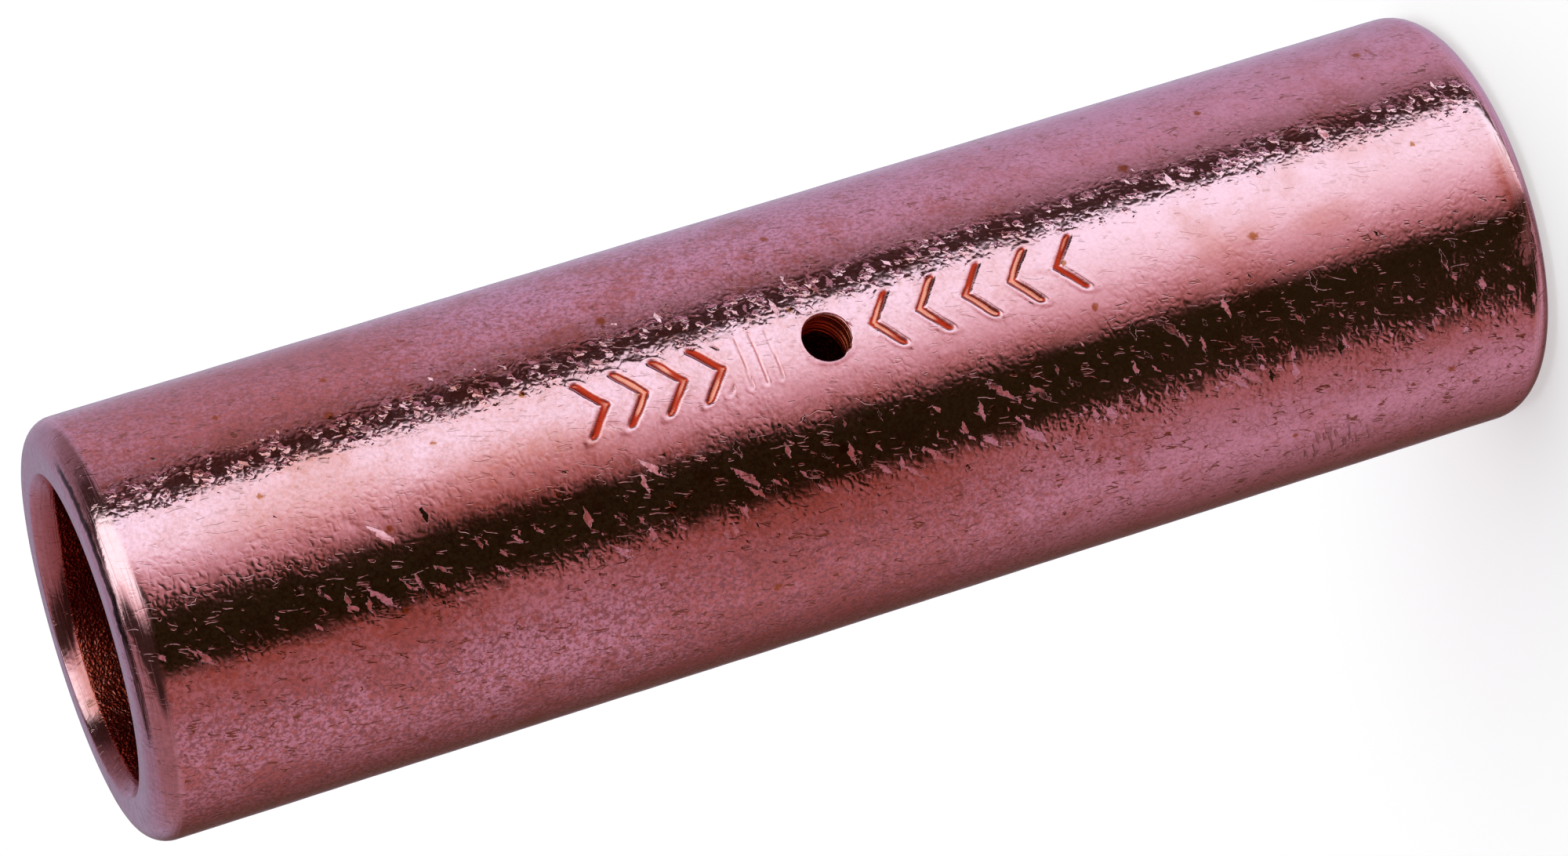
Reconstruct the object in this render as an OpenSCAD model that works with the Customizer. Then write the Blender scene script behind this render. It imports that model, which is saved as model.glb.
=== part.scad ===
// Butt splice connector: one plain copper crimp sleeve with a sight hole at its middle.
// It stands on one end. Z runs up the sleeve, the origin is the middle of its lower end,
// and the sight hole faces the front, along -Y. Millimetres.

/* [Sleeve] */
// Length from end to end
sleeve_length = 80; // [50:1:120]
// Outside diameter of the barrel
outer_d = 23; // [19:0.1:32]
// Diameter of the bore that takes the two conductors
bore_d = 16.5; // [8:0.1:20]

/* [Ends] */
// Radius of the rounded outer edge at both ends
end_radius = 1.6; // [0.4:0.05:2.4]
// Width of the lead-in at both mouths of the bore, measured across the wall
mouth_chamfer = 0.5; // [0.2:0.05:1.4]
// Depth of the lead-in, measured along the bore
mouth_depth = 0.85; // [0.2:0.05:3]

/* [Sight hole] */
// Diameter of the hole that shows whether the conductors are fully in
sight_hole_d = 2.7; // [1.5:0.1:5]
// Distance of the hole above the middle of the sleeve
sight_hole_shift = 0; // [-15:0.5:15]

/* [Hidden] */
outer_r = outer_d / 2;
bore_r = bore_d / 2;
wall = outer_r - bore_r;
sight_hole_z = sleeve_length / 2 + sight_hole_shift;
// Flat ring that a thin wall keeps between its rounded edge and its lead-in
least_ring = 0.2;
// The rounded edge gets smaller where the wall is too thin for it
edge_r = min(end_radius, wall - mouth_chamfer - least_ring);
// How far a cutting shape runs past the surface that it cuts
overrun = 1;
// Steps of a full circle in the preview
fine = 128;
copper = [0.76, 0.42, 0.44];

// Corner that is cut off the wall at the lower mouth, carried on past both of its ends
module mouth_cut() {
    slope = mouth_depth / mouth_chamfer;
    polygon([
        [bore_r - overrun, -overrun],
        [bore_r + mouth_chamfer + overrun / slope, -overrun],
        [bore_r - overrun, mouth_depth + overrun * slope]
    ]);
}

// Half section of the wall, with both outer edges rounded and both mouths opened out
module wall_section() {
    difference() {
        union() {
            translate([bore_r, 0])
                square([wall - edge_r, sleeve_length]);
            translate([bore_r, edge_r])
                square([wall, sleeve_length - 2 * edge_r]);
            for (z = [edge_r, sleeve_length - edge_r])
                translate([outer_r - edge_r, z])
                    circle(r = edge_r, $fn = fine);
        }
        mouth_cut();
        translate([0, sleeve_length])
            mirror([0, 1])
                mouth_cut();
    }
}

// The hole goes through the front wall only, from the middle of the bore outwards
module sight_hole() {
    translate([0, 0, sight_hole_z])
        rotate([90, 0, 0])
            cylinder(h = outer_r + overrun, d = sight_hole_d, $fn = fine);
}

// The whole connector is a single turned and drilled tube
module sleeve() {
    color(copper)
        difference() {
            rotate_extrude($fn = fine)
                wall_section();
            sight_hole();
        }
}

sleeve();
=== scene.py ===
"""Looks of the butt splice sleeve: a tumbled copper tube with a sight hole and struck crimp marks."""

import logging
import math
from dataclasses import dataclass, field
from enum import Enum

import bmesh
import bpy
import numpy as np
from mathutils import Matrix, Vector


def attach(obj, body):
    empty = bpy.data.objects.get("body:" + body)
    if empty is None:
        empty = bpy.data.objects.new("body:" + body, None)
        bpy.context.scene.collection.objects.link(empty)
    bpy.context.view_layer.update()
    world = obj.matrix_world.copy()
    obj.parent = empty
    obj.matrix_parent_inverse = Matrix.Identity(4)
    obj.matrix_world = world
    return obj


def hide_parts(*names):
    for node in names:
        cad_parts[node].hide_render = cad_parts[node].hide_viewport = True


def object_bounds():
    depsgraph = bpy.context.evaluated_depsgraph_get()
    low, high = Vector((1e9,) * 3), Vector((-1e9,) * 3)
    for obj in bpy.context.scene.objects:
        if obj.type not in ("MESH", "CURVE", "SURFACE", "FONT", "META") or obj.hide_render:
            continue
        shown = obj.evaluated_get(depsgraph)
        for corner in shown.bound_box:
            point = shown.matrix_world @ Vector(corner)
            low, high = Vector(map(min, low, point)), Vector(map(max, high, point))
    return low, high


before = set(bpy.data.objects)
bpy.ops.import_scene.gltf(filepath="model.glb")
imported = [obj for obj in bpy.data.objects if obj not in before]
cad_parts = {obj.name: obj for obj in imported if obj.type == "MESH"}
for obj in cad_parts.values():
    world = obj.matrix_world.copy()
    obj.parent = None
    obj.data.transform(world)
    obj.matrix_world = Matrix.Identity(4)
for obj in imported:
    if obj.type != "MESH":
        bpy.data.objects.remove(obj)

CAD_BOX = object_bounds()
MM = 0.001
DEGREE = 180.0 / math.pi
BARREL_R = 11.5
LOG = logging.getLogger("sleeve_scene")

Colour = tuple[float, float, float, float]
Range = tuple[float, float]
Easing = tuple[float, float, float, float]


class Zone(Enum):
    """Point attributes that tell the finish which part of the sleeve it is on."""

    BARREL = "barrel"
    TURNED = "turned"
    BORE = "bore"
    GROOVE = "groove"
    DRILLED = "drilled"


@dataclass(frozen=True, eq=False)
class Term:
    """A value in a node tree, so that sums are written with plain signs."""

    board: "Board"
    socket: bpy.types.NodeSocket

    def __add__(self, other: "Feed") -> "Term":
        """Adds."""
        return self.board.math("ADD", self, other)

    def __sub__(self, other: "Feed") -> "Term":
        """Takes away."""
        return self.board.math("SUBTRACT", self, other)

    def __rsub__(self, other: "Feed") -> "Term":
        """Takes this away from a number."""
        return self.board.math("SUBTRACT", other, self)

    def __mul__(self, other: "Feed") -> "Term":
        """Multiplies."""
        return self.board.math("MULTIPLY", self, other)

    def __truediv__(self, other: "Feed") -> "Term":
        """Divides."""
        return self.board.math("DIVIDE", self, other)

    def __lt__(self, other: "Feed") -> "Term":
        """Gives 1 where this is the smaller."""
        return self.board.math("LESS_THAN", self, other)

    def __gt__(self, other: "Feed") -> "Term":
        """Gives 1 where this is the larger."""
        return self.board.math("GREATER_THAN", self, other)

    def __abs__(self) -> "Term":
        """Drops the sign."""
        return self.board.math("ABSOLUTE", self)

    def most(self, other: "Feed") -> "Term":
        """Gives the larger of two."""
        return self.board.math("MAXIMUM", self, other)

    def least(self, other: "Feed") -> "Term":
        """Gives the smaller of two."""
        return self.board.math("MINIMUM", self, other)

    def swing(self, amount: float) -> "Term":
        """Makes a noise value swing to both sides of 0."""
        return (self - 0.5) * amount

    def fit(self, low: float, high: float, to_low: float = 0.0, to_high: float = 1.0) -> "Term":
        """Eases the value from one range into another."""
        feeds = dict(enumerate((self, low, high, to_low, to_high)))
        return self.board.wire("ShaderNodeMapRange", feeds, interpolation_type="SMOOTHSTEP")

    def other(self, name: str) -> "Term":
        """Gives another output of the same node."""
        return Term(self.board, self.socket.node.outputs[name])


Feed = float | int | str | tuple | Term


@dataclass(frozen=True)
class Board:
    """A node tree being wired up."""

    tree: bpy.types.NodeTree

    def feed(self, socket: bpy.types.NodeSocket, value: Feed) -> None:
        """Links an input to a value of the tree, or sets its own value.

        Args:
            socket: the input.
            value: a term to link, or a constant.
        """
        if isinstance(value, Term):
            self.tree.links.new(value.socket, socket)
        else:
            socket.default_value = value

    def add(self, kind: str, feeds: dict[int | str, Feed], **settings: object) -> bpy.types.Node:
        """Adds a node.

        Args:
            kind: Blender's type name of the node.
            feeds: its inputs, by number or name.
            settings: properties that are set on it first.

        Returns:
            The new node.
        """
        node = self.tree.nodes.new(kind)
        for name, value in settings.items():
            setattr(node, name, value)
        for name, value in feeds.items():
            self.feed(node.inputs[name], value)
        return node

    def wire(self, kind: str, feeds: dict[int | str, Feed], out: int | str = 0, **settings: object) -> Term:
        """Adds a node and gives one of its outputs."""
        return Term(self, self.add(kind, feeds, **settings).outputs[out])

    def math(self, operation: str, *values: Feed) -> Term:
        """Does one operation on numbers."""
        return self.wire("ShaderNodeMath", dict(enumerate(values)), operation=operation)

    def vector(self, operation: str, *values: Feed, out: str = "Vector") -> Term:
        """Does one operation on vectors."""
        return self.wire("ShaderNodeVectorMath", dict(enumerate(values)), out, operation=operation)

    def scale(self, vector: Term, factor: Feed) -> Term:
        """Scales a vector."""
        return self.wire("ShaderNodeVectorMath", {0: vector, "Scale": factor}, operation="SCALE")

    def split(self, vector: Term) -> tuple[Term, ...]:
        """Takes a vector apart."""
        parts = self.add("ShaderNodeSeparateXYZ", {0: vector}).outputs
        return tuple(Term(self, part) for part in parts)

    def join(self, x: Feed, y: Feed, z: Feed = 0.0) -> Term:
        """Puts a vector together."""
        return self.wire("ShaderNodeCombineXYZ", {0: x, 1: y, 2: z})

    def hypot(self, a: Term, b: Term) -> Term:
        """Gives the distance from two sides at a right angle."""
        return self.math("SQRT", a * a + b * b)

    def round_from_front(self, x: Term, y: Term) -> Term:
        """Gives the angle round the axis from the front, where the sight hole is."""
        return self.math("ARCTAN2", x, y * -1.0)

    def cells(self, where: Term, size: float, **settings: str) -> Term:
        """Scatters cells on a flat sheet and gives the distance in them."""
        feeds = {"Vector": where, "Scale": 1.0 / size}
        return self.wire("ShaderNodeTexVoronoi", feeds, "Distance", voronoi_dimensions="2D", **settings)

    def blend(self, share: Feed, first: Feed, second: Feed) -> Term:
        """Mixes a share of the second colour into the first."""
        return self.wire("ShaderNodeMix", {0: share, 6: first, 7: second}, 2, data_type="RGBA")


@dataclass(frozen=True)
class Grain:
    """Smooth noise from about 0 to 1, with lumps of one size in millimetres."""

    size: float
    detail: float = 2.0
    roughness: float = 0.5
    ease: Easing | None = None

    def at(self, where: Term) -> Term:
        """Reads the noise.

        Args:
            where: the place, in millimetres.

        Returns:
            The value, eased if the grain has an easing.
        """
        feeds = {"Vector": where, "Scale": 1.0 / self.size}
        feeds |= {"Detail": self.detail, "Roughness": self.roughness}
        noise = where.board.wire("ShaderNodeTexNoise", feeds)
        return noise.fit(*self.ease) if self.ease else noise


@dataclass(frozen=True)
class Band:
    """A stretch that fades from its middle to both sides."""

    middle: float
    inner: float
    outer: float
    peak: float = 1.0
    rest: float = 0.0

    def at(self, value: Term) -> Term:
        """Gives the band's weight."""
        return abs(value - self.middle).fit(self.inner, self.outer, self.peak, self.rest)


@dataclass(frozen=True)
class Slant:
    """The barrel's flat sheet, turned and squeezed so that a round pattern comes out long and slanting.

    The angle is that of the long marks from the sleeve's axis, in degrees.
    """

    angle: float
    stretch: float

    @property
    def legs(self) -> Range:
        """Cosine and sine of the angle."""
        return math.cos(math.radians(self.angle)), math.sin(math.radians(self.angle))

    def lay(self, arc: Term, rise: Term) -> Term:
        """Goes onto the turned sheet.

        Args:
            arc: distance round the barrel.
            rise: height.

        Returns:
            The place on the turned sheet.
        """
        c, s = self.legs
        across = arc * c - rise * s
        along = rise * (c / self.stretch) + arc * (s / self.stretch)
        return arc.board.join(across, along)

    def back(self, place: Term) -> tuple[Term, Term]:
        """Goes back from the turned sheet.

        Args:
            place: the place on it.

        Returns:
            Distance round the barrel, and height.
        """
        c, s = self.legs
        across, along, _ = place.board.split(place)
        return across * c + along * (self.stretch * s), along * (self.stretch * c) - across * s


@dataclass(frozen=True)
class Skin:
    """A place on the sleeve as the finish reads it, in millimetres, with the shares of the zones."""

    board: Board
    where: Term
    arc: Term
    rise: Term
    reach: Term
    seam: Term
    zones: dict[Zone, Term]


@dataclass(frozen=True)
class Stain:
    """A patch on the barrel: degrees round from the sight hole, height, both reaches and strength."""

    turn: float
    height: float
    wide: float
    tall: float
    weight: float = 1.0
    fade: Range = (0.35, 1.15)

    def at(self, skin: Skin, ragged: Feed = 0.0) -> Term:
        """Gives the patch's weight.

        Args:
            skin: the place.
            ragged: what pulls the patch's edge in and out.

        Returns:
            The strength in the middle, falling to 0.
        """
        angle = math.radians(self.turn)
        middle = (BARREL_R * math.sin(angle), -BARREL_R * math.cos(angle), self.height)
        away = skin.board.vector("SUBTRACT", skin.where, middle)
        away = skin.board.vector("MULTIPLY", away, (1.0 / self.wide, 1.0 / self.wide, 1.0 / self.tall))
        reach = skin.board.vector("LENGTH", away, out="Value") + ragged
        return reach.fit(*self.fade, self.weight, 0.0)


@dataclass(frozen=True)
class Slivers:
    """One sort of chip on the barrel: how it lies, its size, and where along the sleeve it is common."""

    slant: Slant
    spacing: float
    width: float
    tip: float
    low_share: float
    high_share: float


@dataclass(frozen=True)
class TumbledCopper:
    """Bare copper that was drawn, cut and tumbled: pink with a violet cast, chipped, cracked and stained.

    Distances are in millimetres. Arcs are measured round the barrel from the sight hole, and those above it
    in the picture are positive.
    """

    # Colours
    pink: Colour = (0.86, 0.42, 0.485, 1.0)
    tarnish: Colour = (0.66, 0.22, 0.19, 1.0)
    shade: Colour = (0.40, 0.16, 0.16, 1.0)
    cut: Colour = (0.93, 0.52, 0.57, 1.0)
    # Dark brown of cracks and scratches, also used as painted shade in the tool rings' grooves
    crack_and_shade: Colour = (0.30, 0.10, 0.05, 1.0)
    rust: Colour = (0.42, 0.10, 0.025, 1.0)
    # Dark red of the strokes' walls: struck copper, partly painted shade of the walls
    struck: Colour = (0.52, 0.035, 0.014, 1.0)
    floor: Colour = (0.97, 0.32, 0.23, 1.0)
    drilled: Colour = (0.80, 0.17, 0.085, 1.0)
    # Darker red copper of the bore, partly painted shade of the bore; also the colour of the mouth's painted
    # shade
    inside: Colour = (0.38, 0.048, 0.027, 1.0)
    # Painted dark reflection: black of the line on the front of the upper rounding
    dark_reflection: Colour = (0.035, 0.016, 0.008, 1.0)
    # Stains and spots
    stains: tuple[Stain, ...] = (
        Stain(-62.0, 43.0, 8.0, 13.0, 0.95),
        Stain(-70.0, 72.0, 7.0, 13.0, 0.5),
        Stain(-42.0, 70.0, 3.5, 12.0, 0.6),
        Stain(45.0, 69.0, 9.0, 13.0, 0.9),
        Stain(20.0, 57.0, 4.0, 10.0, 0.4),
        Stain(-2.0, 69.0, 2.6, 6.0, 0.55),
        Stain(-12.0, 58.0, 2.8, 7.5, 0.7),
        Stain(-9.0, 12.0, 1.2, 2.6, 0.45),
        Stain(8.0, 9.0, 1.2, 2.0, 0.35),
        Stain(-15.0, 0.9, 4.0, 1.4, 0.9),
    )
    wide_stain: Grain = Grain(9.0, 4.0, 0.65, (0.52, 0.74, 0.0, 0.6))
    cloud: Grain = Grain(3.4, 4.0, 0.65)
    cloud_stain: Easing = (0.48, 0.64, -0.25, 0.55)
    stain_edge: float = 1.4
    fine: Grain = Grain(0.34, 3.0, 0.7)
    fine_stain: Easing = (0.46, 0.62, 0.0, 0.8)
    mottle: Grain = Grain(0.22, 2.0, 0.6, (0.36, 0.57, 0.75, 0.0))
    mottle_shift: tuple[float, float, float] = (31.0, 7.0, 13.0)
    rust_spacing: float = 5.0
    rust_size: Easing = (0.0, 1.0, 0.04, 0.08)
    rust_edge: float = 0.13
    rust_fade: Easing = (0.35, 1.0, 1.0, 0.0)
    rust_share: float = 0.32
    # How much each coat covers what is below it
    rust_coat: float = 0.9
    cut_coat: float = 0.55
    # Share of cracks, scratches and the painted shade of the tool rings
    crack_and_shade_coat: float = 0.85
    # Share of the painted dark reflection
    dark_reflection_coat: float = 0.92
    # Wear of the skin
    front_wear: Band = Band(-0.3, 2.2, 3.4, 0.30, 0.8)
    under_wear: Easing = (-11.0, -8.5, 0.4, 0.0)
    mottled_heights: Easing = (20.0, 44.0, 0.40, 1.0)
    # Chips and grains
    slivers: tuple[Slivers, ...] = (
        Slivers(Slant(48.0, 4.4), spacing=0.85, width=0.24, tip=0.30, low_share=0.35, high_share=0.55),
        Slivers(Slant(86.0, 3.2), spacing=0.80, width=0.21, tip=0.28, low_share=1.0, high_share=0.35),
        Slivers(Slant(60.0, 2.6), spacing=0.42, width=0.13, tip=0.30, low_share=0.5, high_share=0.45),
    )
    share_heights: Range = (28.0, 56.0)
    fringe_foot: float = -8.9
    fringe_climb: float = 0.04
    fringe: Band = Band(0.0, 0.4, 1.9, 0.75)
    core: Band = Band(1.8, 1.3, 2.3, 0.30, 0.01)
    calm_core: Easing = (42.0, 62.0, 1.0, 0.4)
    above: Band = Band(3.6, 0.5, 1.6, 0.24)
    sway: Grain = Grain(0.45, 2.0, 0.6)
    sway_reach: float = 0.5
    sway_slip: float = -0.6
    chip_up: float = 0.24
    chip_lean: float = 0.42
    chip_shuffle: float = 7.31
    chip_sizes: Range = (0.4, 1.0)
    chip_edge: float = 0.9
    bead_slant: Slant = Slant(55.0, 1.5)
    bead_spacing: float = 0.46
    bead_size: Easing = (0.2, 0.9, 0.16, 0.58)
    bead_share: float = 0.62
    bead_line: Band = Band(2.8, 0.5, 1.5, 0.092)
    bead_wander: float = 3.0
    pebble: Grain = Grain(0.5, 1.0)
    pebble_height: Grain = Grain(2.5, 1.0, 0.5, (0.38, 0.62, 0.010, 0.030))
    rough_line: Band = Band(2.9, 0.6, 1.7, 0.018)
    # Cracks and scratches
    net_slant: Slant = Slant(20.0, 1.7)
    net_sway: Grain = Grain(0.3, 1.0)
    net_bend: float = 0.35
    net_spacing: float = 0.34
    net_line: Easing = (0.02, 0.12, 1.0, 0.0)
    net_patches: Grain = Grain(1.2, 2.0, 0.6, (0.42, 0.58, 0.0, 1.0))
    hair_slant: Slant = Slant(14.0, 4.0)
    hair_path: Grain = Grain(0.7)
    hair_line: Easing = (0.005, 0.020, 1.0, 0.0)
    hair_patches: Grain = Grain(0.7, 1.0, 0.5, (0.53, 0.60, 0.0, 1.0))
    scuff: Stain = Stain(-77.0, 13.5, 2.0, 3.4)
    scuff_slant: Slant = Slant(74.0, 7.0)
    scuff_lines: Grain = Grain(0.26, 1.0, 0.5, (0.55, 0.66, 0.0, 1.0))
    # Depth of a crack, and the depth and darkness of other lines as shares of a crack's
    crack_depth: float = 0.010
    tool_dip: float = 0.5
    scratch_dip: float = 4.0
    # Painted shade in the tool rings' grooves, as a share of a crack's darkness
    tool_groove_shade: float = 0.15
    net_dark: float = 0.50
    scratch_dark: float = 0.65
    # How much less of the skin's relief the turned ends have
    turned_calm: float = 0.4
    # Ends, bore and hole
    tool_drift: Grain = Grain(7.0, 1.0)
    tool_wander: float = 0.6
    tool_lines: Grain = Grain(0.16, 2.0, 0.7, (0.52, 0.62, 0.0, 1.0))
    # Painted shade on the mouth's lip, darkening towards the bore
    mouth_painted_shade: Easing = (8.25, 8.85, 0.65, 0.0)
    # Centre of the upper rounding, and the painted dark reflection on it: its slope, ragged edge, width and
    # ends
    round_reach: float = 9.84
    round_height: float = 78.28
    dark_reflection_slope: float = 61.0
    dark_reflection_edge: Grain = Grain(1.6, 3.0, 0.65)
    dark_reflection_wander: float = 0.45
    dark_reflection_width: Easing = (0.05, 0.17, 1.0, 0.0)
    dark_reflection_ends: Band = Band(1.2, 5.2, 7.4)
    bore_pebble: Grain = Grain(0.26, 1.0)
    bore_bump: float = 0.07
    # Painted glints in the bore
    bore_glint: Easing = (0.50, 0.64, 0.0, 0.5)
    drill_lines: Grain = Grain(0.24, 1.0)
    drill_climb: float = 0.35
    drill_bump: float = 0.55
    groove_wall: Range = (0.12, 0.45)
    groove_floor: Range = (0.62, 0.85)
    # Gloss
    roughness: float = 0.10
    dulling: Grain = Grain(2.4, 3.0, 0.6)
    dull_swing: float = 0.10
    dull_groove: Easing = (0.03, 0.3, 0.0, 0.30)
    dull_zones: tuple[tuple[Zone, float], ...] = (
        (Zone.DRILLED, 0.30),
        (Zone.TURNED, 0.03),
        (Zone.BORE, 0.14),
    )
    # Distances from the back between which patterns on the flat sheet fade out
    seam: Range = (1.2, 0.5)

    def unroll(self, board: Board) -> Skin:
        """Lays the barrel's skin out as a flat sheet.

        Args:
            board: the material's tree.

        Returns:
            The place, with a seam share that falls to 0 along the back.
        """
        where = board.scale(board.wire("ShaderNodeTexCoord", {}, "Object"), 1.0 / MM)
        x, y, rise = board.split(where)
        arc = board.round_from_front(x, y) * BARREL_R
        fade, edge = (math.pi * BARREL_R - inset for inset in self.seam)
        seam = abs(arc).fit(fade, edge, 1.0, 0.0)
        zones = {z: board.wire("ShaderNodeAttribute", {}, "Fac", attribute_name=z.value) for z in Zone}
        return Skin(board, where, arc, rise, board.hypot(x, y), seam, zones)

    def battered(self, arc: Term, rise: Term) -> Term:
        """How thick the chips lie: a fringe of them below the front, fewer above it, hardly any elsewhere.

        Args:
            arc: distance round from the sight hole.
            rise: height.

        Returns:
            Part of the places that have a chip.
        """
        off = arc - (rise * self.fringe_climb + self.fringe_foot)
        core = self.core.at(off) * rise.fit(*self.calm_core)
        return self.fringe.at(off).most(core).most(self.above.at(arc))

    def chips(self, skin: Skin, sway: Term, sort: Slivers) -> Term:
        """Loose slivers and flat chips, each tipped its own way and sharp at its edge.

        Args:
            skin: the place.
            sway: what bends their outlines, in millimetres.
            sort: the sort of chip.

        Returns:
            The height in millimetres.
        """
        board = skin.board
        sheet = sort.slant.lay(skin.arc, skin.rise)
        bent = board.vector("ADD", sheet, board.join(sway, sway * self.sway_slip))
        distance = board.cells(bent, sort.spacing, distance="MANHATTAN")
        own_arc, own_rise = sort.slant.back(distance.other("Position"))
        colour = distance.other("Color")
        lean = board.split(colour)[0] - self.chip_up
        lean = lean + board.math("SIGN", lean) * self.chip_lean
        plane = (skin.arc - own_arc) * (lean * sort.tip)
        _, size, pick = board.split(board.vector("FRACTION", board.scale(colour, self.chip_shuffle)))
        share = own_rise.fit(*self.share_heights, sort.low_share, sort.high_share)
        chosen = pick < self.battered(own_arc, own_rise) * share
        edge = size.fit(0.0, 1.0, *self.chip_sizes) * (sort.width / sort.spacing)
        inside = (distance / edge).fit(self.chip_edge, 1.0, 1.0, 0.0)
        return plane * inside * chosen

    def beads(self, skin: Skin, sway: Term) -> Term:
        """Round grains along the line above the sight hole, where the light shows every one.

        Args:
            skin: the place.
            sway: what bends their outlines, in millimetres.

        Returns:
            The height in millimetres.
        """
        board = skin.board
        distance = board.cells(self.bead_slant.lay(skin.arc + sway, skin.rise - sway), self.bead_spacing)
        pick, size, _ = board.split(distance.other("Color"))
        reach = size.fit(*self.bead_size)
        off = distance / reach
        dome = (1.0 - off * off).most(0.0)
        line = self.bead_line.at(skin.arc + sway * self.bead_wander)
        return dome * reach * (line * (pick < self.bead_share))

    def relief(self, skin: Skin) -> Term:
        """Chips, grains and close small bumps with creases between them.

        Args:
            skin: the place.

        Returns:
            The height in millimetres.
        """
        sway = self.sway.at(skin.where).swing(self.sway_reach)
        first, *others = (self.chips(skin, sway, sort) for sort in self.slivers)
        for more in (*others, self.beads(skin, sway)):
            first = first + more
        height = self.pebble_height.at(skin.where) + self.rough_line.at(skin.arc)
        return first * skin.seam + abs(self.pebble.at(skin.where) - 0.5) * height

    def weathered(self, skin: Skin) -> Term:
        """How cracked and mottled the skin is: least on the front, most on the side that lay below."""
        return self.front_wear.at(skin.arc) + skin.arc.fit(*self.under_wear)

    def crackle(self, skin: Skin) -> Term:
        """Leathery net of very fine cracks, in patches and fainter on the front.

        Args:
            skin: the place.

        Returns:
            1 on the net and 0 elsewhere.
        """
        sway = self.net_sway.at(skin.where)
        bend = skin.board.scale(skin.board.join(sway, sway), self.net_bend)
        bent = skin.board.vector("ADD", self.net_slant.lay(skin.arc, skin.rise), bend)
        line = skin.board.cells(bent, self.net_spacing, feature="DISTANCE_TO_EDGE").fit(*self.net_line)
        return line * self.net_patches.at(skin.where) * self.weathered(skin)

    def hairlines(self, skin: Skin) -> Term:
        """Short fine cracks in the skin, mostly along the sleeve.

        Args:
            skin: the place.

        Returns:
            1 in a crack and 0 elsewhere.
        """
        path = abs(self.hair_path.at(self.hair_slant.lay(skin.arc, skin.rise)) - 0.5)
        patches = self.hair_patches.at(skin.where)
        return path.fit(*self.hair_line) * patches * self.weathered(skin)

    def scratches(self, skin: Skin) -> Term:
        """One scuff of short scratches, side by side across the sleeve."""
        return self.scuff_lines.at(self.scuff_slant.lay(skin.arc, skin.rise)) * self.scuff.at(skin)

    def turning(self, skin: Skin) -> Term:
        """Fine rings that the cutting tool left on the ends."""
        drift = self.tool_drift.at(skin.where) * self.tool_wander
        return self.tool_lines.at(skin.board.join(skin.reach + drift, skin.rise)) * skin.zones[Zone.TURNED]

    def painted_reflection_line(self, skin: Skin) -> Term:
        """Painted dark reflection: a black line on the front of the upper rounding.

        Args:
            skin: the place.

        Returns:
            1 in the line and 0 elsewhere.
        """
        rise = skin.rise - self.round_height
        slope = skin.board.math("ARCTAN2", rise, skin.reach - self.round_reach)
        wobble = self.dark_reflection_edge.at(skin.where).swing(self.dark_reflection_wander)
        line = abs(slope + wobble - math.radians(self.dark_reflection_slope)).fit(*self.dark_reflection_width)
        return line * self.dark_reflection_ends.at(skin.arc) * (rise > 0.0) * skin.zones[Zone.TURNED]

    def stained(self, skin: Skin, fine: Term) -> Term:
        """Pink copper with tarnish, stains, mottles and rusty spots.

        Args:
            skin: the place.
            fine: the finest noise.

        Returns:
            The colour.
        """
        board = skin.board
        cloud = self.cloud.at(skin.where)
        ragged = cloud.swing(self.stain_edge)
        stain = self.wide_stain.at(skin.where)
        for patch in self.stains:
            stain = stain.most(patch.at(skin, ragged))
        worn = self.weathered(skin) * skin.rise.fit(*self.mottled_heights)
        stain = stain + (fine.fit(*self.fine_stain) + cloud.fit(*self.cloud_stain)) * worn
        colour = board.blend(stain.least(1.0).most(0.0), self.pink, self.tarnish)
        mottle = self.mottle.at(board.vector("ADD", skin.where, self.mottle_shift)) * worn
        colour = board.blend(mottle.least(1.0), colour, self.shade)
        distance = board.cells(board.join(skin.arc, skin.rise), self.rust_spacing)
        size, pick, _ = board.split(distance.other("Color"))
        spot = (distance + fine.swing(self.rust_edge)) / size.fit(*self.rust_size)
        spot = spot.fit(*self.rust_fade) * (pick < self.rust_share)
        return board.blend(spot * self.rust_coat, colour, self.rust)

    def colour(self, skin: Skin, dark: Term) -> Term:
        """The colour of every zone, from the stained skin to the bore.

        Args:
            skin: the place.
            dark: where cracks and tool lines are; on the tool lines it is painted shade of their grooves.

        Returns:
            The colour.
        """
        turned, groove = skin.zones[Zone.TURNED], skin.zones[Zone.GROOVE]
        fine = self.fine.at(skin.where)
        colour = self.stained(skin, fine)
        coats = (
            (turned * self.cut_coat, self.cut),
            # Painted shade on the mouth's lip, in the bore's colour
            (turned * skin.reach.fit(*self.mouth_painted_shade), self.inside),
            # Cracks and scratches, and painted shade in the tool rings' grooves
            (dark * self.crack_and_shade_coat, self.crack_and_shade),
            # Painted dark reflection on the upper rounding
            (self.painted_reflection_line(skin) * self.dark_reflection_coat, self.dark_reflection),
            # Strokes' walls: struck copper, partly painted shade
            (groove.fit(*self.groove_wall), self.struck),
            (groove.fit(*self.groove_floor), self.floor),
            (skin.zones[Zone.DRILLED], self.drilled),
            # The bore: darker red copper, partly painted shade, with painted glints
            (skin.zones[Zone.BORE], skin.board.blend(fine.fit(*self.bore_glint), self.inside, self.tarnish)),
        )
        for share, coat in coats:
            colour = skin.board.blend(share, colour, coat)
        return colour

    def gloss(self, skin: Skin) -> Term:
        """Roughness, with duller struck, drilled and inner surfaces.

        Args:
            skin: the place.

        Returns:
            The roughness.
        """
        dull = self.dulling.at(skin.where).swing(self.dull_swing) + self.roughness
        dull = dull + skin.zones[Zone.GROOVE].fit(*self.dull_groove)
        for zone, more in self.dull_zones:
            dull = dull + skin.zones[zone] * more
        return dull

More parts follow.
